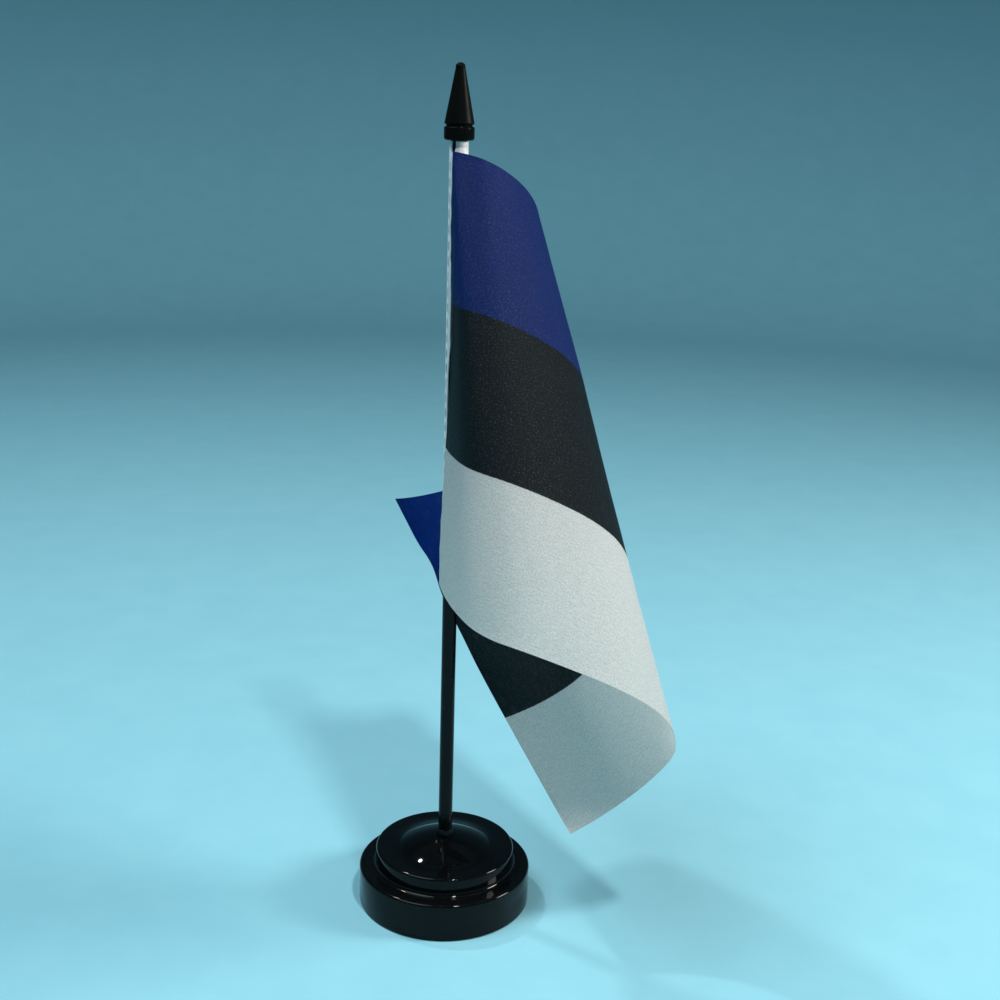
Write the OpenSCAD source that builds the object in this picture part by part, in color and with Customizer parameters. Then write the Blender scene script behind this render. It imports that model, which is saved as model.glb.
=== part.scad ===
// Desk flag stand: a weighted two-tier base, a pole with a finial, and a hanging cloth flag.
// Millimetres. +Z is up, and the flag flies towards +X.
// The origin is on the pole's axis, in the plane that the base stands on.

/* [Base] */
// Diameter of the lower disc
lower_d = 62; // [60:1:70]
// Height of the lower disc's flat top
lower_h = 14; // [13:0.5:16]
// Diameter of the upper disc
upper_d = 50; // [46:1:52]
// Height of the upper disc's flat top
upper_h = 20.8; // [20:0.2:24]
// Diameter of the dome on the upper disc
dome_d = 33; // [30:1:38]
// Rise of the dome above the upper disc
dome_rise = 4; // [3:0.5:6]
// Radius of the rounded rims
rim_r = 1; // [0.5:0.1:1.4]
// Radius of the hollow corner between the ledge and the upper disc
ledge_r = 1.6; // [1:0.1:2]
// Wall thickness of the hollow moulding
wall = 2.4; // [2:0.1:3]
// Thickness of the foam pad
pad_t = 1; // [0.8:0.1:1.4]
// How far the pad stands below the moulding's rim
pad_proud = 0.3; // [0.2:0.1:0.5]
// Thickness of the bottom cover
cover_t = 1.6; // [1.2:0.1:2]

/* [Pole] */
// Diameter of the pole
pole_d = 5; // [4.6:0.1:5]
// Height at which the pole stands in its ferrule
pole_foot_z = 7; // [6.5:0.5:9]
// Outer diameter of the ferrule at the foot of the pole
ferrule_d = 6; // [5.8:0.1:6.4]
// Outer diameter of the ferrule's upper lip
ferrule_lip_d = 5.5; // [5.4:0.1:5.6]
// Height of the lip above the top of the dome
ferrule_proud = 2.6; // [2:0.2:4]

/* [Finial] */
// Height of the finial's underside above the table
finial_z = 270.3; // [268:0.1:290]
// Depth of the hole that takes the pole's top
finial_bore = 8; // [6:0.5:10]
// Diameter of the collar
collar_d = 9.8; // [9:0.1:11]
// Height of the collar
collar_h = 4.3; // [3.5:0.1:5]
// Diameter at the bottom of the groove above the collar
groove_d = 8.3; // [7.8:0.1:8.6]
// Diameter of the cone's foot
cone_d = 9.6; // [9:0.1:10.5]
// Height of the whole finial
finial_h = 23.7; // [22:0.1:28]
// Diameter of the rounded tip
tip_d = 3.1; // [2.7:0.1:3.4]

/* [Flag] */
// Height of the flat cloth along the pole
hoist = 140; // [136:1:142]
// Length of the flat cloth away from the pole
fly = 210; // [204:1:216]
// Thickness of the cloth
cloth_t = 0.4; // [0.3:0.1:0.5]
// Height of the cloth's top corner on the pole
cloth_top_z = 267; // [265:0.5:267]
// Outer diameter of the tape pocket round the pole
sleeve_d = 6.2; // [6:0.1:6.4]
// Direction from the axis to the cloth's root on the pocket
root_angle = 228; // [225:1:235]
// Direction in which the cloth leaves its root
leave_angle = 259; // [255:1:265]
// Distance from one stitch to the next
stitch_pitch = 5; // [4:0.5:6]

/* [Hidden] */
$fn = 96;
running_gap = 0.05;
seat_gap = 0.02;
end_chamfer = 0.4;

// How far the last fold line stays from the head edge at the fly
end_strip = 4;

// Folds of the hanging cloth, from the pole outwards. Each row is a straight line on the flat cloth:
// [where it meets the head edge, where it meets the foot edge, the cloth's turn up to the next line].
// A foot distance beyond the fly goes on up the fly edge. Turns are in degrees and bend to the back.
FOLDS = [
  [0, 0, 25],
  [1, 20, 3],
  [2, 60, 34],
  [3, 64, 41],
  [10, 67, 28],
  [21, 108, 68],
  [46, 160, 26],
  [170, 163, 64],
  [175, fly, 42],
  [fly, fly + hoist - end_strip, 0]
];
fan = 6;

// Heights in the base
rim_z = pad_proud;
cover_top = pad_t + cover_t;
dome_top = upper_h + dome_rise;
socket_floor = pole_foot_z - 2;
lip_top = dome_top + ferrule_proud;
ferrule_band = 0.6;

// Radii in the base
foot_r = 0.4;
cover_r = lower_d / 2 - 1.7;
pad_r = cover_r - 1.2;
hollow_r = lower_d / 2 - wall;
upper_hollow_r = upper_d / 2 - wall;
boss_r = 6;
part_gap = 0.3;
cover_gap = 0.1;

// The dome is an arc that starts at its edge on the upper disc and ends on the axis
dome_r = (pow(dome_d / 2, 2) + pow(dome_rise, 2)) / (2 * dome_rise);
dome_edge = asin(dome_d / 2 / dome_r);

// Finial's small rounds and groove
collar_foot_r = 0.9;
collar_rim_r = 0.6;
groove_foot = 0.2;
groove_h = 0.5;
cone_foot_r = 0.5;
cone_foot_z = 1.1;
tip_rise = 1.2;
tip_neck = 0.12;

// Pocket: it ends just under the finial, and its slit is wider above the cloth
pocket_gap = 0.3;
sleeve_top = finial_z - pocket_gap;
sleeve_bottom = cloth_top_z - hoist + pocket_gap;
sleeve_bore = pole_d + 0.16;
slit_start = root_angle - 15;
slit_end = root_angle + 1;
open_slit_end = root_angle + 18;
root_r = sleeve_d / 2 + 0.12;
stitch_d = 0.3;
stitch_l = 3.4;

// Points of an arc round [x, y], from angle a to angle b in n steps
function arc(x, y, r, a, b, n) =
  [for (i = [0:n]) let(t = a + (b - a) * i / n) [x + r * cos(t), y + r * sin(t)]];

module shell_outside() rotate_extrude() polygon(concat(
  [[0, rim_z]],
  arc(lower_d / 2 - foot_r, rim_z + foot_r, foot_r, -90, 0, 3),
  arc(lower_d / 2 - rim_r, lower_h - rim_r, rim_r, 0, 90, 6),
  arc(upper_d / 2 + ledge_r, lower_h + ledge_r, ledge_r, 270, 180, 6),
  arc(upper_d / 2 - rim_r, upper_h - rim_r, rim_r, 0, 90, 6),
  arc(0, dome_top - dome_r, dome_r, 90 - dome_edge, 90, 12)));

// The moulding is hollow from below, with a boss down the middle that holds the ferrule
module base_shell() color([0.02, 0.02, 0.025]) difference() {
  shell_outside();
  difference() {
    union() {
      translate([0, 0, -1]) cylinder(r = cover_r + cover_gap, h = cover_top + 1);
      cylinder(r = hollow_r, h = lower_h - wall);
      cylinder(r = upper_hollow_r, h = upper_h - wall);
    }
    translate([0, 0, cover_top + part_gap]) cylinder(r = boss_r, h = upper_h);
  }
  translate([0, 0, socket_floor]) cylinder(d = ferrule_d + 2 * seat_gap, h = dome_top);
}

module base_weight() color([0.32, 0.31, 0.3]) difference() {
  translate([0, 0, cover_top]) {
    cylinder(r = hollow_r - part_gap, h = lower_h - wall - cover_top - part_gap);
    cylinder(r = upper_hollow_r - part_gap, h = upper_h - wall - cover_top - part_gap);
  }
  cylinder(r = boss_r + part_gap, h = upper_h);
}

module base_cover() color([0.05, 0.05, 0.055]) translate([0, 0, pad_t]) cylinder(r = cover_r, h = cover_t);

module base_pad() color([0.1, 0.1, 0.1]) cylinder(r = pad_r, h = pad_t);

module pole_ferrule() color([0.03, 0.03, 0.035]) difference() {
  rotate_extrude() polygon([
    [0, socket_floor],
    [ferrule_d / 2 - end_chamfer, socket_floor],
    [ferrule_d / 2, socket_floor + end_chamfer],
    [ferrule_d / 2, dome_top + ferrule_band],
    [ferrule_lip_d / 2, lip_top],
    [0, lip_top]]);
  translate([0, 0, pole_foot_z]) cylinder(d = pole_d + 2 * running_gap, h = lip_top);
}

module pole() {
  top = finial_z + finial_bore;
  color([0.03, 0.03, 0.035]) rotate_extrude() polygon([
    [0, pole_foot_z], [pole_d / 2 - end_chamfer, pole_foot_z], [pole_d / 2, pole_foot_z + end_chamfer],
    [pole_d / 2, top - end_chamfer], [pole_d / 2 - end_chamfer, top], [0, top]]);
}

module finial() {
  tip_z = finial_h - tip_rise;
  color([0.05, 0.05, 0.055]) translate([0, 0, finial_z]) difference() {
    rotate_extrude() polygon(concat(
      [[0, 0]],
      arc(collar_d / 2 - collar_foot_r, collar_foot_r, collar_foot_r, -90, 0, 5),
      arc(collar_d / 2 - collar_rim_r, collar_h - collar_rim_r, collar_rim_r, 0, 90, 5),
      [[groove_d / 2, collar_h + groove_foot], [groove_d / 2, collar_h + groove_h]],
      arc(cone_d / 2 - cone_foot_r, collar_h + cone_foot_z, cone_foot_r, -60, 12, 5),
      [[tip_d / 2 - tip_neck, tip_z - 2 * tip_neck]],
      [for (i = [0:6]) [tip_d / 2 * cos(90 * i / 6), tip_z + tip_rise * sin(90 * i / 6)]]));
    translate([0, 0, -1]) cylinder(d = pole_d + 2 * running_gap, h = finial_bore + 1);
  }
}

// A wedge from the axis outwards, from direction a to direction b
module wedge(a, b) polygon([[0, 0], for (t = [a, (a + b) / 2, b]) 1.5 * sleeve_d * [cos(t), sin(t)]]);

// A tape that wraps the pole and leaves a slit beside the cloth's root
module flag_sleeve() color([0.86, 0.86, 0.85]) difference() {
  translate([0, 0, sleeve_bottom]) linear_extrude(sleeve_top - sleeve_bottom) difference() {
    circle(d = sleeve_d);
    circle(d = sleeve_bore);
    wedge(slit_start, slit_end);
  }
  translate([0, 0, cloth_top_z + pocket_gap]) linear_extrude(sleeve_top) wedge(slit_start, open_slit_end);
}

// Stitches down the pocket's left lip
module sleeve_stitching() color([0.9, 0.9, 0.88])
  for (z = [sleeve_bottom + stitch_l:stitch_pitch:cloth_top_z - stitch_pitch])
    rotate(slit_start - stitch_pitch)
      translate([(sleeve_d + stitch_d) / 2, 0, z])
        cylinder(d = stitch_d, h = stitch_l, $fn = 16);

// Where a fold line meets the flat cloth's edges, as [along the fly, down the hoist]
function head_point(s) = [s, 0];
function foot_point(p) = p <= fly ? [p, hoist] : [fly, hoist - (p - fly)];

// Fold lines: a fan of equal steps from each row of FOLDS to the next.
// A row's own line takes half a step's turn from each side.
last = len(FOLDS) - 1;
function step_turn(k) = k < 0 || k >= last ? 0 : FOLDS[k][2] / fan;
function mix(a, b, t) = a + (b - a) * t;
LINES = concat(
  [for (k = [0:last - 1], j = [0:fan - 1]) [
    mix(FOLDS[k][0], FOLDS[k + 1][0], j / fan),
    mix(FOLDS[k][1], FOLDS[k + 1][1], j / fan),
    j > 0 ? step_turn(k) : (step_turn(k - 1) + step_turn(k)) / 2]],
  [[FOLDS[last][0], FOLDS[last][1], 0]]);

// A vector turned about a unit axis
function turned(v, axis, a) = v * cos(a) + cross(axis, v) * sin(a) + axis * (axis * v) * (1 - cos(a));

// A flat panel of the cloth is [corner, direction along the head, direction down the hoist]
function on_panel(panel, q) = panel[0] + panel[1] * q[0] + panel[2] * q[1];
function folded(panel, line) = let(
    top = on_panel(panel, head_point(line[0])),
    axis = on_panel(panel, foot_point(line[1])) - top,
    unit = axis / norm(axis),
    back = -line[2])
  [top + turned(panel[0] - top, unit, back), turned(panel[1], unit, back), turned(panel[2], unit, back)];

root = root_r * [cos(root_angle), sin(root_angle), 0];
first_panel = [root + [0, 0, cloth_top_z], [cos(leave_angle), sin(leave_angle), 0], [0, 0, -1]];
PANELS = [
  for (k = 0, p = first_panel; k < len(LINES); k = k + 1, p = k < len(LINES) ? folded(p, LINES[k]) : p) p];

// The cloth is a four-sided bar of points along every fold line, joined from line to line
module flag_cloth() {
  n = len(LINES);
  normals = [for (k = [0:n - 1]) let(
    a = PANELS[max(k - 1, 0)],
    b = PANELS[k],
    m = cross(a[1], a[2]) + cross(b[1], b[2])) m / norm(m) * cloth_t / 2];
  heads = [for (k = [0:n - 1]) on_panel(PANELS[k], head_point(LINES[k][0]))];
  feet = [for (k = [0:n - 1]) on_panel(PANELS[k], foot_point(LINES[k][1]))];
  points = [for (k = [0:n - 1]) each
    [heads[k] + normals[k], feet[k] + normals[k], feet[k] - normals[k], heads[k] - normals[k]]];
  sides = [for (k = [0:n - 2], j = [0:3]) let(a = 4 * k + j, b = 4 * k + (j + 1) % 4) each
    [[a, b, b + 4], [a, b + 4, a + 4]]];
  color([0.2, 0.25, 0.6]) polyhedron(points, concat(
    [[3, 2, 1, 0]],
    sides,
    [[for (j = [0:3]) 4 * n - 4 + j]]));
}

base_shell();
base_weight();
base_cover();
base_pad();
pole_ferrule();
pole();
finial();
flag_sleeve();
sleeve_stitching();
flag_cloth();
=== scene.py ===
"""Desk flag stand: a gloss two-tier base, a thin pole with a finial, and a limp printed cloth, in metres."""

from math import asin, atan2, ceil, cos, degrees, exp, hypot, pi, radians, sin

import bpy
from mathutils import Matrix, Vector, noise


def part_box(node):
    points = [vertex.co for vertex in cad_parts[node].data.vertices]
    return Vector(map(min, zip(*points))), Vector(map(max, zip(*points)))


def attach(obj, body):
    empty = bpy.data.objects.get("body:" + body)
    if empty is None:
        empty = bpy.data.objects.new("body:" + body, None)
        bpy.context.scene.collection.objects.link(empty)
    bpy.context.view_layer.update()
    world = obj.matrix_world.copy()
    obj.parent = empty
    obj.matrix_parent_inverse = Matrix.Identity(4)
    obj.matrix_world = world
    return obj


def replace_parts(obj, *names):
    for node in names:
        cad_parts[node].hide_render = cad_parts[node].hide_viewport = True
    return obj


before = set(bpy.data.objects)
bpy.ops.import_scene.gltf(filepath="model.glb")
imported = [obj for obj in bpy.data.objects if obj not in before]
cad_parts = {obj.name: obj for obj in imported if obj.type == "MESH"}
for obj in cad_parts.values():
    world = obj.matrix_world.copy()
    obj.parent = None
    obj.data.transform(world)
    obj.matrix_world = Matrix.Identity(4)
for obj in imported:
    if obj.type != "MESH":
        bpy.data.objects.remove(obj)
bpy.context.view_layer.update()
mm = 0.001
scene = bpy.context.scene
scene.view_settings.view_transform = "Standard"


# ---------------------------------------------------------------- camera, lights and floor

def make_camera():
    """A 50 mm lens that looks down on the stand from the front, held slightly off level."""
    yaw, pitch, roll = radians(2.05), radians(15.94), radians(1.73)
    forward = Vector((sin(yaw) * cos(pitch), cos(yaw) * cos(pitch), -sin(pitch)))
    level = Vector((cos(yaw), -sin(yaw), 0))
    upright = level.cross(forward)
    side = level * cos(roll) + upright * sin(roll)
    top = upright * cos(roll) - level * sin(roll)
    data = bpy.data.cameras.new("camera")
    data.lens = 50.4
    camera = bpy.data.objects.new("camera", data)
    camera.matrix_world = Matrix((side, top, -forward)).transposed().to_4x4()
    camera.location = (0, -0.4585, 0.283)
    scene.collection.objects.link(camera)
    scene.camera = camera


def area_light(name, azimuth, elevation, distance, size, watts, colour):
    """A round softbox that faces the middle of the flag from a direction given in degrees."""
    aim = Vector((0.01, 0, 0.13))
    a, e = radians(azimuth), radians(elevation)
    towards = Vector((cos(a) * cos(e), sin(a) * cos(e), sin(e)))
    data = bpy.data.lights.new(name, "AREA")
    data.shape = "DISK"
    data.size = size
    data.energy = watts
    data.color = colour
    light = bpy.data.objects.new(name, data)
    light.location = aim + towards * distance
    light.rotation_euler = towards.to_track_quat("Z", "Y").to_euler()
    light.visible_camera = False
    scene.collection.objects.link(light)


def make_lights():
    area_light("key", -67, 60, 0.95, 0.08, 5.2, (1.0, 0.96, 0.9))
    area_light("right", -5, 24, 1.0, 0.3, 9.0, (1.0, 0.94, 0.87))
    area_light("back_left", 143, 57, 1.0, 0.06, 2.6, (1.0, 0.97, 0.93))
    area_light("left_fill", -158, 62, 1.2, 0.7, 7.0, (0.8, 0.95, 1.0))
    world = bpy.data.worlds.new("studio")
    world.use_nodes = True
    back = world.node_tree.nodes["Background"]
    back.inputs["Color"].default_value = (0.5, 0.8, 0.92, 1)
    back.inputs["Strength"].default_value = 0.16
    scene.world = world


def arc(x, y, r, start, end, steps):
    """Points of an arc round (x, y), from one angle to another in degrees."""
    angles = [radians(start + (end - start) * i / steps) for i in range(steps + 1)]
    return [(x + r * cos(a), y + r * sin(a)) for a in angles]


def mesh_piece(name, points, faces, material, sharp=40, uv=None):
    """A mesh object with smooth shading, and sharp edges past an angle in degrees."""
    mesh = bpy.data.meshes.new(name)
    mesh.from_pydata(points, [], faces)
    mesh.polygons.foreach_set("use_smooth", [True] * len(mesh.polygons))
    mesh.set_sharp_from_angle(angle=radians(sharp))
    if uv:
        layer = mesh.uv_layers.new(name="flat")
        for loop in mesh.loops:
            layer.data[loop.index].uv = uv[loop.vertex_index]
    mesh.materials.append(material)
    piece = bpy.data.objects.new(name, mesh)
    scene.collection.objects.link(piece)
    return piece


def lathe(name, outline, material, sides=160, sharp=40, scale=mm):
    """A closed surface of revolution. The outline starts and ends on the axis and goes anticlockwise."""
    points = []
    rings = []
    for r, z in outline:
        count = 1 if r < 1e-6 else sides
        rings.append(range(len(points), len(points) + count))
        for i in range(count):
            a = 2 * pi * i / sides
            points.append((r * cos(a) * scale, r * sin(a) * scale, z * scale))
    faces = []
    for low, high in zip(rings, rings[1:]):
        for i in range(sides):
            j = (i + 1) % sides
            a, b = low[i % len(low)], low[j % len(low)]
            c, d = high[j % len(high)], high[i % len(high)]
            corners = [a, b, c, d]
            faces.append([v for k, v in enumerate(corners) if v != corners[k - 1]])
    faces = [f for f in faces if len(set(f)) > 2]
    return mesh_piece(name, points, faces, material, sharp)


# ---------------------------------------------------------------- materials

class Material:
    """A node material with one Principled shader, and short calls for the nodes that feed it."""

    def __init__(self, name, colour, roughness, **values):
        self.material = bpy.data.materials.new(name)
        self.material.use_nodes = True
        self.tree = self.material.node_tree
        self.shader = self.tree.nodes["Principled BSDF"]
        self.shader.inputs["Base Color"].default_value = (*colour, 1)
        self.shader.inputs["Roughness"].default_value = roughness
        for key, value in values.items():
            self.shader.inputs[key.replace("_", " ")].default_value = value
        self.place = self.node("TexCoord").outputs["Object"]

    def node(self, kind, **settings):
        made = self.tree.nodes.new("ShaderNode" + kind)
        for key, value in settings.items():
            setattr(made, key, value)
        return made

    def feed(self, socket, value):
        """Links an output to a socket, or sets the socket to a plain value."""
        if isinstance(value, bpy.types.NodeSocket):
            self.tree.links.new(value, socket)
        else:
            socket.default_value = value

    def drive(self, name, value):
        self.feed(self.shader.inputs[name], value)

    def stretched(self, scale, place=None):
        """The place coordinates, scaled by three numbers."""
        made = self.node("Mapping")
        self.feed(made.inputs["Vector"], place or self.place)
        made.inputs["Scale"].default_value = scale
        return made.outputs["Vector"]

    def noise(self, scale, detail=3.0, roughness=0.5, place=None):
        made = self.node("TexNoise")
        self.feed(made.inputs["Vector"], place or self.place)
        made.inputs["Scale"].default_value = scale
        made.inputs["Detail"].default_value = detail
        made.inputs["Roughness"].default_value = roughness
        return made.outputs["Fac"]

    def maths(self, operation, a, b=0.0):
        made = self.node("Math", operation=operation)
        self.feed(made.inputs[0], a)
        self.feed(made.inputs[1], b)
        return made.outputs[0]

    def ranged(self, value, low, high, to_low, to_high, smooth=True):
        made = self.node("MapRange", interpolation_type="SMOOTHSTEP" if smooth else "LINEAR")
        self.feed(made.inputs["Value"], value)
        for key, number in zip(("From Min", "From Max", "To Min", "To Max"), (low, high, to_low, to_high)):
            self.feed(made.inputs[key], number)
        return made.outputs["Result"]

    def mixed(self, share, a, b, blend="MIX"):
        """Two colours mixed by share. Each is an output or three numbers."""
        made = self.node("Mix", data_type="RGBA", blend_type=blend)
        self.feed(made.inputs[0], share)
        self.feed(made.inputs[6], a if isinstance(a, bpy.types.NodeSocket) else (*a, 1))
        self.feed(made.inputs[7], b if isinstance(b, bpy.types.NodeSocket) else (*b, 1))
        return made.outputs[2]

    def bump(self, height, distance, strength=1.0, under=None):
        made = self.node("Bump")
        made.inputs["Strength"].default_value = strength
        made.inputs["Distance"].default_value = distance
        self.feed(made.inputs["Height"], height)
        if under:
            self.feed(made.inputs["Normal"], under)
        self.drive("Normal", made.outputs["Normal"])
        return made.outputs["Normal"]


def gloss_plastic(name, colour, roughness, smear, stretch=(1, 1, 1)):
    """Moulded or extruded plastic: handling smears, fine dust, and a skin that isn't quite flat."""
    m = Material(name, colour, roughness, Specular_IOR_Level=0.14)
    skin = m.stretched(stretch)
    smears = m.ranged(m.noise(70, 4, 0.55, skin), 0.42, 0.72, 0.0, 1.0)
    dust = m.ranged(m.noise(2600, 2), 0.70, 0.76, 0.0, 1.0)
    lint = m.ranged(m.noise(480, 2, 0.6, m.stretched((1, 0.3, 1))), 0.74, 0.79, 0.0, 1.0)
    specks = m.maths("MAXIMUM", dust, lint)
    m.drive("Base Color", m.mixed(m.maths("MULTIPLY", specks, 0.14), colour, (0.35, 0.38, 0.38)))
    rough = m.maths("ADD", m.maths("MULTIPLY", smears, smear), roughness)
    m.drive("Roughness", m.maths("ADD", rough, m.maths("MULTIPLY", specks, 0.2)))
    waves = m.bump(m.noise(90, 2, 0.5, skin), 0.00006, 0.35)
    m.bump(m.noise(1500, 2, 0.5, skin), 0.000008, 0.5, waves)
    return m.material


def finial_plastic():
    """Satin cone over a polished collar."""
    m = Material("finial_satin", (0.003, 0.0035, 0.0035), 0.3, Specular_IOR_Level=0.03)
    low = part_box("finial")[0].z
    split = m.node("SeparateXYZ")
    m.feed(split.inputs[0], m.place)
    satin = m.ranged(split.outputs["Z"], low + 4.2 * mm, low + 4.9 * mm, 0.0, 1.0)
    grain = m.noise(2400, 3)
    rough = m.ranged(satin, 0, 1, 0.13, 0.36, smooth=False)
    m.drive("Roughness", m.maths("ADD", rough, m.ranged(m.noise(260, 4), 0.3, 0.7, -0.03, 0.07)))
    worn = m.ranged(m.noise(700, 3, 0.6), 0.66, 0.78, 0.0, 0.12)
    m.drive("Base Color", m.mixed(worn, (0.003, 0.0035, 0.0035), (0.05, 0.05, 0.05)))
    m.bump(m.maths("MULTIPLY", grain, satin), 0.00003, 0.5)
    return m.material


def plain_finish(name, colour, other, roughness, grain, depth):
    """Matte parts under and inside the base: mottled colour and a coarse skin."""
    m = Material(name, colour, roughness)
    coarse = m.noise(grain, 5, 0.65)
    m.drive("Base Color", m.mixed(m.ranged(coarse, 0.3, 0.7, 0, 1), colour, other))
    m.drive("Roughness", m.ranged(m.noise(grain / 4, 3), 0.3, 0.7, roughness - 0.08, roughness + 0.08))
    m.bump(coarse, depth, 0.8)
    return m.material


def cloth_weave(m, warp, weft):
    """The flat coordinates, split, and the height of a woven surface from them: threads both ways."""
    flat = m.node("UVMap", uv_map="flat").outputs["UV"]
    split = m.node("SeparateXYZ")
    m.feed(split.inputs[0], flat)
    across = m.maths("SINE", m.maths("MULTIPLY", split.outputs["X"], 2 * pi / warp))
    along = m.maths("SINE", m.maths("MULTIPLY", split.outputs["Y"], 2 * pi / weft))
    return flat, split, m.maths("MULTIPLY", across, along)


# How far the flat coordinates of a cloth's reverse are shifted, in metres, so that its noise differs and the
# flag's reverse can be painted paler, as painted light for the inside of the roll.
REVERSE_SHIFT = 4.0


def flag_fabric():
    """Printed satin polyester in three equal bands. The dark bands of its reverse are painted paler and
    bluer, with stronger fibre streaks, as painted light for the inside of the roll. Pale base-colour specks
    are painted glints.
    """
    blue, black, white = (0.001, 0.027, 0.2), (0.0008, 0.008, 0.012), (0.9, 0.9, 0.88)
    hoist = 140 * mm
    m = Material("flag_satin", blue, 0.45, Specular_IOR_Level=0.26)
    flat, split, weave = cloth_weave(m, 0.28 * mm, 0.22 * mm)
    bleed = m.ranged(m.noise(2600, 3, 0.6, flat), 0, 1, -0.25 * mm, 0.25 * mm, smooth=False)
    down = m.maths("ADD", split.outputs["Y"], bleed)
    soft = 0.15 * mm
    lower = m.ranged(down, hoist / 3 - soft, hoist / 3 + soft, 0.0, 1.0)
    lowest = m.ranged(down, hoist * 2 / 3 - soft, hoist * 2 / 3 + soft, 0.0, 1.0)
    # Painted light: the reverse's dark bands are painted paler and bluer. This stands in for the light inside
    # the roll.
    painted_light_blue, painted_light_black = (0.002, 0.08, 0.46), (0.012, 0.045, 0.055)
    behind = m.maths("GREATER_THAN", split.outputs["X"], REVERSE_SHIFT / 2)
    dark = m.mixed(lower, m.mixed(behind, blue, painted_light_blue), m.mixed(behind, black, painted_light_black))
    colour = m.mixed(lowest, dark, white)
    threads = m.noise(1.0, 3, 0.6, m.stretched((1900, 190, 1), flat))
    cross = m.noise(1.0, 3, 0.6, m.stretched((300, 1700, 1), flat))
    grain = m.noise(1800, 3, 0.65, flat)
    # Specks lower the roughness for real glints. They are also mixed pale into the base colour as painted
    # glints.
    specks = m.ranged(m.noise(1650, 3, 0.65, flat), 0.54, 0.66, 0.0, 1.0)
    # Fibre streaks are real on both sides. Their stronger share on the reverse is partly painted light for
    # the inside of the roll.
    streaks_and_painted_light = m.ranged(behind, 0, 1, 0.014, 0.07, smooth=False)
    slubs = m.maths("MULTIPLY", m.ranged(threads, 0.5, 0.74, 0.0, 1.0), streaks_and_painted_light)
    # Fibre slubs, partly painted light on the reverse, plus pale specks as painted glints.
    painted_glints_and_slubs = m.maths("ADD", slubs, m.maths("MULTIPLY", specks, 0.11))
    streaked_with_painted_light = m.mixed(painted_glints_and_slubs, colour, (0.45, 0.62, 0.7))
    uneven = m.maths("ADD", m.maths("MULTIPLY", grain, 0.75), m.maths("MULTIPLY", cross, 0.25))
    mottled = m.ranged(uneven, 0.38, 0.62, 0.8, 1.1, smooth=False)
    shade = m.node("CombineColor")
    for channel in ("Red", "Green", "Blue"):
        m.feed(shade.inputs[channel], mottled)
    tone = m.mixed(1.0, streaked_with_painted_light, shade.outputs["Color"], "MULTIPLY")
    m.drive("Base Color", tone)
    m.drive("Roughness", m.ranged(specks, 0, 1, 0.38, 0.2, smooth=False))
    loose = m.maths("ADD", grain, m.maths("MULTIPLY", threads, 0.5))
    relief = m.maths("ADD", m.maths("MULTIPLY", weave, 0.12), loose)
    normal = m.bump(relief, 0.00025, 0.8)
    glow = m.node("BsdfTranslucent")
    m.feed(glow.inputs["Color"], tone)
    m.feed(glow.inputs["Normal"], normal)
    through = m.node("MixShader")
    through.inputs[0].default_value = 0.58
    m.feed(through.inputs[1], m.shader.outputs[0])
    m.feed(through.inputs[2], glow.outputs[0])
    m.feed(m.tree.nodes["Material Output"].inputs["Surface"], through.outputs[0])
    return m.material


def tape_fabric():
    """White polyester tape with fine cross ribs."""
    m = Material("tape_weave", (0.78, 0.79, 0.78), 0.6)
    m.shader.inputs["Sheen Weight"].default_value = 0.2
    flat, split, weave = cloth_weave(m, 0.3 * mm, 0.4 * mm)
    fibres = m.noise(1.0, 4, 0.6, m.stretched((1200, 240, 1), flat))
    m.drive("Base Color", m.mixed(m.ranged(fibres, 0.3, 0.7, 0, 1), (0.66, 0.68, 0.69), (0.84, 0.84, 0.82)))
    m.drive("Roughness", m.ranged(fibres, 0.3, 0.7, 0.5, 0.7))
    m.bump(m.maths("ADD", m.maths("MULTIPLY", weave, 0.5), fibres), 0.00008, 0.6)
    return m.material


def thread_fibre():
    """Twisted sewing thread."""
    m = Material("thread_twist", (0.8, 0.8, 0.78), 0.55)
    twist = m.node("TexWave", bands_direction="DIAGONAL")
    m.feed(twist.inputs["Vector"], m.place)
    twist.inputs["Scale"].default_value = 1400
    twist.inputs["Distortion"].default_value = 1.5
    m.drive("Base Color", m.mixed(twist.outputs["Fac"], (0.6, 0.61, 0.6), (0.86, 0.86, 0.84)))
    m.drive("Roughness", m.ranged(m.noise(3000, 2), 0.3, 0.7, 0.48, 0.65))
    m.bump(twist.outputs["Fac"], 0.00005, 0.7)
    return m.material


def floor_paper():
    m = Material("floor_paper", (0.5, 0.68, 0.75), 0.75)
    tone = m.ranged(m.noise(35, 5, 0.6), 0.3, 0.7, 0.0, 1.0)
    paper = m.mixed(tone, (0.23, 0.54, 0.66), (0.245, 0.56, 0.68))
    split = m.node("SeparateXYZ")
    m.feed(split.inputs[0], m.place)
    m.drive("Base Color", m.mixed(m.ranged(split.outputs["Z"], 0.02, 0.7, 0, 1), paper, (0.08, 0.22, 0.28)))
    m.bump(m.noise(900, 4, 0.6), 0.0001, 0.15)
    return m.material


def make_stage():
    """A round bowl of pale paper, so that every side has the same plain floor and wall."""
    flat_r, bend, wall_top = 1300, 450, 1900
    outline = [(200, 0), (700, 0)] + arc(flat_r, bend, bend, -90, 0, 16) + [(flat_r + bend, wall_top)]
    points = []
    sides = 96
    for r, z in outline:
        for i in range(sides):
            a = 2 * pi * i / sides
            points.append((r * cos(a) * mm, r * sin(a) * mm, z * mm))
    faces = [list(range(sides))]
    for k in range(len(outline) - 1):
        for i in range(sides):
            j = (i + 1) % sides
            faces.append([k * sides + i, k * sides + j, (k + 1) * sides + j, (k + 1) * sides + i])
    mesh_piece("studio_floor", points, faces, floor_paper())


# ---------------------------------------------------------------- base, ferrule, pole and finial

def height_on(centre_z, radius, r):
    """Height of a sphere round the axis at distance r."""
    return centre_z + (radius * radius - r * r) ** 0.5


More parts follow.
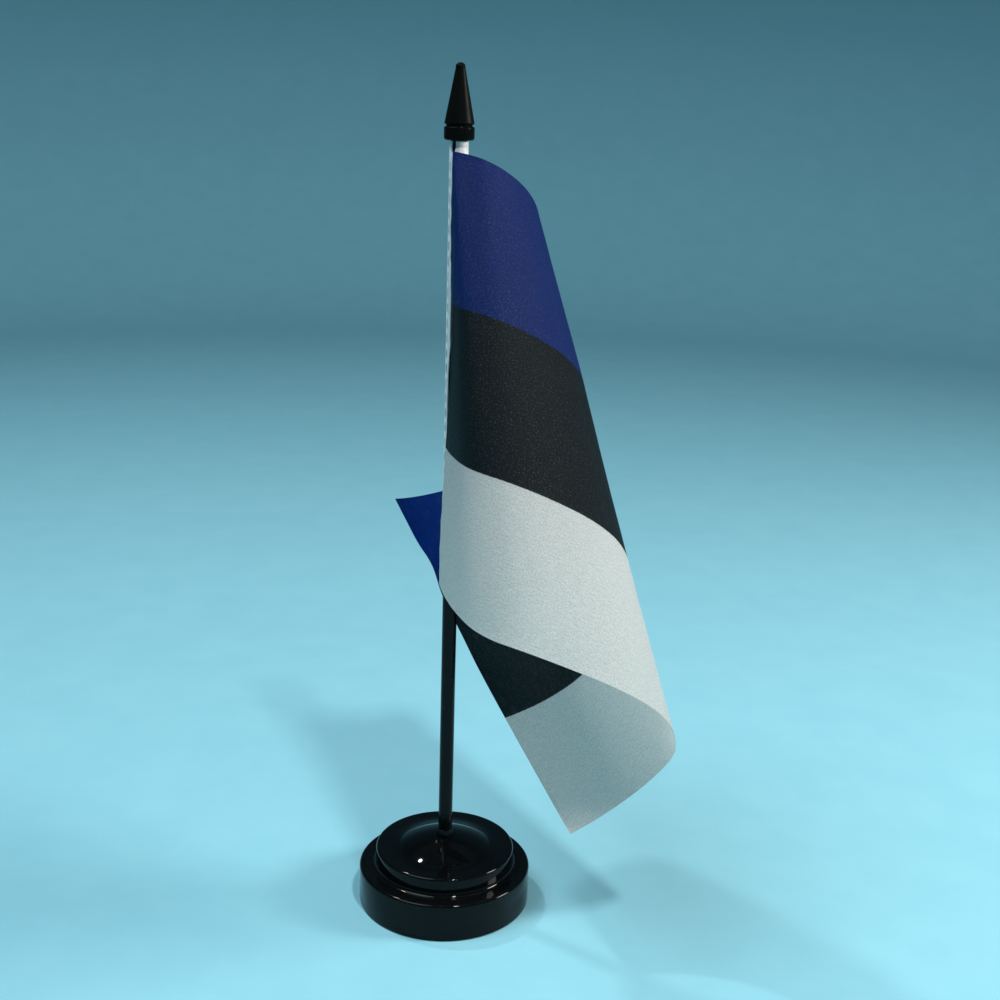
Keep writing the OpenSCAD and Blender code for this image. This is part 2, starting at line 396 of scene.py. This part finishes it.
def make_base():
    """The hollow two-tier moulding with its dome, turned round the pole's axis."""
    low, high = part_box("base_shell")
    lower_r, rim_z = high.x / mm, low.z / mm
    lower_h, upper_r, upper_h, dome_r, dome_peak = 14, 25, 20.8, 16.5, 24.8
    rim, hollow, foot, wall = 1.0, 1.6, 0.4, 2.4
    boss_r, roof_gap = 6, 0.3
    rise = dome_peak - upper_h
    radius = (dome_r ** 2 + rise ** 2) / (2 * rise)
    centre = dome_peak - radius
    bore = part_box("pole_ferrule")[1].x / mm + 0.02
    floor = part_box("pole_ferrule")[0].z / mm
    edge = degrees(asin(dome_r / radius))
    top = degrees(asin((bore + 0.15) / radius))
    dome = arc(0, centre, radius, 90 - top, 90 - edge, 40)
    outside = [(0, floor), (bore, floor), (bore, height_on(centre, radius, bore) - 0.15)] + dome
    outside += [(upper_r - rim - 3, upper_h)]
    outside += arc(upper_r - rim, upper_h - rim, rim, 90, 0, 14)
    outside += arc(upper_r + hollow, lower_h + hollow, hollow, 180, 270, 12)
    outside += [(lower_r - rim - 1, lower_h)]
    outside += arc(lower_r - rim, lower_h - rim, rim, 90, 0, 14)
    outside += arc(lower_r - foot, rim_z + foot, foot, 0, -90, 6)
    cover_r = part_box("base_cover")[1].x / mm + 0.1
    cover_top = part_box("base_cover")[1].z / mm
    inside = [(cover_r, rim_z), (cover_r, cover_top), (lower_r - wall, cover_top),
              (lower_r - wall, lower_h - wall), (upper_r - wall, lower_h - wall),
              (upper_r - wall, upper_h - wall), (boss_r, upper_h - wall),
              (boss_r, cover_top + roof_gap), (0, cover_top + roof_gap)]
    piece = lathe("base_moulding", (outside + inside)[::-1], BASE_GLOSS, 224, 35)
    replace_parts(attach(piece, "base"), "base_shell")


def make_ferrule():
    low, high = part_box("pole_ferrule")
    outer, bottom, top = high.x / mm, low.z / mm, high.z / mm
    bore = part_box("pole")[1].x / mm + 0.05
    lip_r, lip_edge, chamfer, shoulder = 2.75, 0.12, 0.4, 25.4
    floor = 7
    outline = [(0, bottom), (outer - chamfer, bottom), (outer, bottom + chamfer)]
    outline += [(outer, shoulder), (outer - 0.04, shoulder + 0.3)]
    outline += arc(lip_r - lip_edge, top - lip_edge, lip_edge, 10, 90, 6)
    outline += [(bore, top), (bore, floor), (0, floor)]
    piece = lathe("foot_ferrule", outline, POLE_GLOSS, 96, 35)
    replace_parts(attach(piece, "base"), "pole_ferrule")


def make_pole():
    low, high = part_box("pole")
    r, bottom, top = high.x / mm, low.z / mm, high.z / mm
    chamfer, steps = 0.4, 60
    outline = [(0, bottom), (r - chamfer, bottom), (r, bottom + chamfer)]
    outline += [(r, bottom + (top - bottom) * i / steps) for i in range(1, steps)]
    outline += [(r, top - chamfer), (r - chamfer, top), (0, top)]
    piece = lathe("pole_rod", outline, POLE_GLOSS, 96, 35)
    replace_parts(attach(piece, "pole"), "pole")


def make_finial():
    """Cone with a rounded tip over a groove and a collar, with the blind hole for the pole."""
    low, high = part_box("finial")
    z0, top = low.z / mm, high.z / mm
    collar, groove, cone, tip = high.x / mm, 4.15, 4.8, 1.55
    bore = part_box("pole")[1].x / mm + 0.05
    hole_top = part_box("pole")[1].z / mm
    outline = [(0, hole_top), (bore, hole_top), (bore, z0)]
    outline += arc(collar - 0.9, z0 + 0.9, 0.9, -90, 0, 12)
    outline += arc(collar - 0.6, z0 + 3.7, 0.6, 0, 90, 10)
    outline += arc(groove + 0.15, z0 + 4.65, 0.15, 180 + 60, 180 - 60, 6)
    outline += arc(cone - 0.5, z0 + 5.4, 0.5, -60, 12, 10)
    outline += [(tip - 0.04 + (cone - 0.02 - tip) * (1 - i / 24), z0 + 5.5 + (top - 1.44 - z0 - 5.5) * i / 24)
                for i in range(1, 25)]
    outline += [(tip * cos(radians(a)), top - 1.2 + 1.2 * sin(radians(a))) for a in range(-6, 90, 8)]
    outline += [(0, top)]
    piece = lathe("cone_finial", outline, FINIAL_SATIN, 128, 35)
    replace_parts(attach(piece, "finial"), "finial")


# ---------------------------------------------------------------- the cloth, its tape pocket and the stitches

# Folds of the hanging cloth in millimetres: where the line meets the head edge and the foot edge of the flat
# cloth (past the corner, the fly edge), and the turn up to the next line. FOLD_WIDTH rounds them off.
# These numbers and the two angles below were fitted to the photograph's outlines by a program and
# then rounded, so they are not a hand-set design.
FOLDS = [(0, 0, 30), (1, 16, -4), (2, 61, 40), (3, 66, 46), (10, 70, 22), (21, 109, 67), (46, 158, 26),
         (170, 166, 73), (174, 210, 34), (210, 346, 0)]
FOLD_WIDTH = 7
HOIST, FLY = 140, 210
ROOT_R, ROOT_ANGLE, LEAVE_ANGLE = 3.22, 236, 256
CLOTH_THICK = 0.16
EDGE_SWELL = 1.7


def bell(x, middle, width):
    """A smooth bump of height 1."""
    return exp(-((x - middle) / width) ** 2)


def foot_point(p):
    """Where a fold line meets the foot edge, or past the corner, the fly edge."""
    return Vector((p, HOIST)) if p <= FLY else Vector((FLY, HOIST - (p - FLY)))


def fold_lines(step=1.5):
    """Close lines over the flat cloth: head point, foot point, and a turn spread over the neighbours."""
    lines = []
    for row, after in zip(FOLDS, FOLDS[1:]):
        count = ceil(max(after[0] - row[0], after[1] - row[1]) / step)
        width = (after[0] - row[0] + after[1] - row[1]) / 2 / count
        for j in range(count):
            head = row[0] + (after[0] - row[0]) * j / count
            foot = row[1] + (after[1] - row[1]) * j / count
            lines.append((head, foot, row[2] / count, width))
    turns = [0] * len(lines)
    for head, foot, turn, width in lines:
        shares = [bell((h + f - head - foot) / 2, 0, FOLD_WIDTH * 1.41) * w for h, f, _, w in lines]
        total = sum(shares)
        turns = [sofar + turn * share / total for sofar, share in zip(turns, shares)]
    spread = [(Vector((line[0], 0)), foot_point(line[1]), turn) for line, turn in zip(lines, turns)]
    return spread + [(Vector((FLY, 0)), foot_point(FOLDS[-1][1]), 0)]


def along_line(head, foot, steps):
    """Points of one fold line, with one close to each end for the sealed edge."""
    edge = min(0.2, 0.5 / (foot - head).length)
    shares = [0] + [edge + (1 - 2 * edge) * i / steps for i in range(steps + 1)] + [1]
    return [head + (foot - head) * s for s in shares]


def hanging_cloth(steps=56):
    """Grid of (place, flat point) for the cloth: flat panels turned about the fold lines in turn."""
    root, leave = radians(ROOT_ANGLE), radians(LEAVE_ANGLE)
    head_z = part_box("flag_cloth")[1].z / mm
    corner = Vector((ROOT_R * cos(root), ROOT_R * sin(root), head_z))
    out, down = Vector((cos(leave), sin(leave), 0)), Vector((0, 0, -1))
    grid = []
    for head, foot, turn in fold_lines():
        flats = along_line(head, foot, steps)
        grid.append([(corner + out * q.x + down * q.y, q) for q in flats])
        top = corner + out * head.x + down * head.y
        axis = corner + out * foot.x + down * foot.y - top
        spin = Matrix.Rotation(-radians(turn), 3, axis.normalized())
        corner, out, down = top + spin @ (corner - top), spin @ out, spin @ down
    return grid


def sheet_normals(grid):
    """Unit normals of a grid of places."""
    rows, columns = len(grid), len(grid[0])
    normals = []
    for i in range(rows):
        line = []
        for j in range(columns):
            a = grid[min(i + 1, rows - 1)][j] - grid[max(i - 1, 0)][j]
            b = grid[i][min(j + 1, columns - 1)] - grid[i][max(j - 1, 0)]
            line.append(a.cross(b).normalized())
        normals.append(line)
    return normals


def closed_sheet(name, grid, flats, thick, material, sharp=55, reverse=0.0):
    """A thin closed solid from a grid of places in millimetres, with a thickness for each point."""
    rows, columns = len(grid), len(grid[0])
    normals = sheet_normals(grid)
    points = []
    uv = []
    for sign in (0.5, -0.5):
        for i in range(rows):
            for j in range(columns):
                q = flats[i][j]
                points.append((grid[i][j] + normals[i][j] * sign * thick(i, j)) * mm)
                uv.append((q.x * mm + (reverse if sign > 0 else 0), q.y * mm))
    half = rows * columns
    faces = []
    for i in range(rows - 1):
        for j in range(columns - 1):
            a, b = i * columns + j, (i + 1) * columns + j
            faces.append([a, b, b + 1, a + 1])
            faces.append([half + a + 1, half + b + 1, half + b, half + a])
    rim = [i * columns for i in range(rows)] + [(rows - 1) * columns + j for j in range(1, columns)]
    rim += [i * columns + columns - 1 for i in range(rows - 2, -1, -1)] + list(range(columns - 2, 0, -1))
    for a, b in zip(rim, rim[1:] + rim[:1]):
        faces.append([b, a, half + a, half + b])
    return mesh_piece(name, points, faces, material, sharp, uv)


def cloth_ripple(q):
    """How far the cloth stands off its flat folds, in millimetres: puckers, soft waves, loose edges."""
    u, v = q.x, q.y
    grown = min(1, u / 6)
    pucker = 0.16 * bell(u, 5, 4.5) * sin(v * 0.72 + 2.4 * noise.noise(Vector((0, v / 14, 3))))
    waves = 0.55 * noise.noise(Vector((u / 34, v / 46, 1.5)))
    fine = 0.10 * noise.noise(Vector((u / 9, v / 16, 7.5)))
    loose = 0.9 * exp((u - FLY) / 16) * noise.noise(Vector((0.5, v / 24, 11)))
    kink = 2.3 * bell(u, FLY, 13) * bell(v, 31, 9)
    foot = 0.35 * exp((v - HOIST) / 7) * noise.noise(Vector((u / 20, 2, 5)))
    crease = -0.3 * bell(u - 0.02 * v, 10.5, 1.3) * bell(v, 70, 60)
    return grown * (waves + fine + loose + kink + foot + crease) + pucker


def seam_pull(v):
    """How far the cloth beside the pocket is pulled right, in millimetres, v down from its head."""
    return 1.9 * bell(v, 62, 30) - 0.7 * bell(v, 128, 18)


ROOT_SHARE = 0.3


def pulled(q):
    """The seam's pull at a flat point: a third of it at the root, most of it at 4 mm, none past 30 mm."""
    share = min(1, ROOT_SHARE + q.x / 6) * bell(q.x, 0, 17)
    return Vector((1, -0.4, 0)) * seam_pull(q.y) * share


def make_cloth(stitches):
    grid = hanging_cloth()
    places = [[p for p, q in line] for line in grid]
    flats = [[q for p, q in line] for line in grid]
    normals = sheet_normals(places)
    places = [[p + n * cloth_ripple(q) + pulled(q) for p, n, q in zip(line, ns, qs)]
              for line, ns, qs in zip(places, normals, flats)]
    last = len(places[0]) - 1

    def thick(i, j):
        return CLOTH_THICK * (EDGE_SWELL if j in (0, last) else 1.0)

    piece = closed_sheet("flag_sheet", places, flats, thick, FLAG_SATIN, reverse=REVERSE_SHIFT)
    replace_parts(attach(piece, "flag"), "flag_cloth")


def make_pocket():
    """Tape that wraps the pole: its slit lies beside the cloth's root, and is cut wider above the cloth."""
    low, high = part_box("flag_sleeve")
    bottom, top, outer = low.z / mm, high.z / mm, high.x / mm
    cloth_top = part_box("flag_cloth")[1].z / mm
    thick = 0.42
    rows, columns = 150, 40
    grid, flats = [], []
    for i in range(rows + 1):
        z = bottom + (top - bottom) * i / rows
        v = cloth_top - z
        above = min(1, max(0, 0.6 - v / 2.5))
        root = ROOT_ANGLE + degrees(ROOT_SHARE * seam_pull(v) / ROOT_R)
        left = 228 + 8 * bell(v, 50, 18) + 5 * bell(v, 62, 4) - 5 * bell(v, 84, 16) - 9 * above
        left += 360 + 1.2 * noise.noise(Vector((0, z / 7, 2)))
        right = root + 1 + 14 * above + 1.2 * noise.noise(Vector((4, z / 6, 2)))
        line, flat = [], []
        for j in range(columns + 1):
            a = right + (left - right) * j / columns
            puff = 0.10 * noise.noise(Vector((cos(radians(a)) * 1.2, sin(radians(a)) * 1.2, z / 11)))
            end_z = z + 0.25 * (i == rows) * noise.noise(Vector((a / 30, 0, 0)))
            r = outer - thick / 2 - 0.06 + puff * 0.5
            line.append(Vector((r * cos(radians(a)), r * sin(radians(a)), end_z)))
            flat.append(Vector((radians(a) * r, z)))
        grid.append(line)
        flats.append(flat)
    piece = closed_sheet("tape_pocket", grid, flats, lambda i, j: thick, TAPE_WEAVE)
    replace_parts(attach(piece, "flag"), "flag_sleeve")


def make_stitches():
    """Lockstitches down the pocket: each thread rises out of the tape, lies along it and dips back."""
    low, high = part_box("sleeve_stitching")
    middle = (low + high) / 2
    around = atan2(middle.y, middle.x)
    reach = hypot(middle.x, middle.y) / mm
    length, pitch, thread = 3.4, 5, 0.13
    count = round(((high.z - low.z) / mm - length) / pitch) + 1
    rings, sides = 13, 8
    points, faces = [], []
    for s in range(count):
        z = low.z / mm + s * pitch
        lean = radians(1.4) * noise.noise(Vector((s * 3.7, 1, 1)))
        start = len(points)
        for i in range(rings):
            t = i / (rings - 1)
            a = around + lean * (t - 0.5) * 2
            r = reach - 0.05 - 0.3 * abs(2 * t - 1) ** 4
            centre = Vector((r * cos(a), r * sin(a), z - 0.1 + (length + 0.2) * t))
            girth = thread * (0.75 + 0.25 * sin(pi * t))
            for k in range(sides):
                b = 2 * pi * k / sides
                side = Vector((cos(a) * cos(b) - sin(a) * sin(b), sin(a) * cos(b) + cos(a) * sin(b), 0))
                points.append((centre + side * girth) * mm)
        for i in range(rings - 1):
            for k in range(sides):
                n = (k + 1) % sides
                a, b = start + i * sides, start + (i + 1) * sides
                faces.append([a + k, a + n, b + n, b + k])
        faces.append([start + k for k in range(sides - 1, -1, -1)])
        faces.append([start + (rings - 1) * sides + k for k in range(sides)])
    piece = mesh_piece("pocket_stitches", points, faces, THREAD_TWIST, 60)
    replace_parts(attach(piece, "flag"), "sleeve_stitching")
    return piece


def finish_hidden_parts():
    """Materials for the CAD parts under and inside the base."""
    rows = [("base_cover", "cover_matte", (0.012, 0.012, 0.013), (0.02, 0.02, 0.021), 0.55, 900, 0.00004),
            ("base_pad", "pad_foam", (0.012, 0.012, 0.012), (0.035, 0.035, 0.034), 0.9, 1600, 0.0002),
            ("base_weight", "weight_iron", (0.12, 0.115, 0.11), (0.24, 0.22, 0.2), 0.6, 420, 0.0002)]
    for node, name, colour, other, roughness, grain, depth in rows:
        material = plain_finish(name, colour, other, roughness, grain, depth)
        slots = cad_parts[node].material_slots
        for entry in slots:
            entry.material = material


make_camera()
make_lights()
make_stage()
BASE_GLOSS = gloss_plastic("base_gloss", (0.0022, 0.0028, 0.0032), 0.045, 0.05)
POLE_GLOSS = gloss_plastic("pole_gloss", (0.0025, 0.0032, 0.0036), 0.16, 0.08, (1, 1, 0.04))
FINIAL_SATIN = finial_plastic()
FLAG_SATIN = flag_fabric()
TAPE_WEAVE = tape_fabric()
THREAD_TWIST = thread_fibre()
make_base()
make_ferrule()
make_pole()
make_finial()
make_pocket()
make_cloth(make_stitches())
finish_hidden_parts()
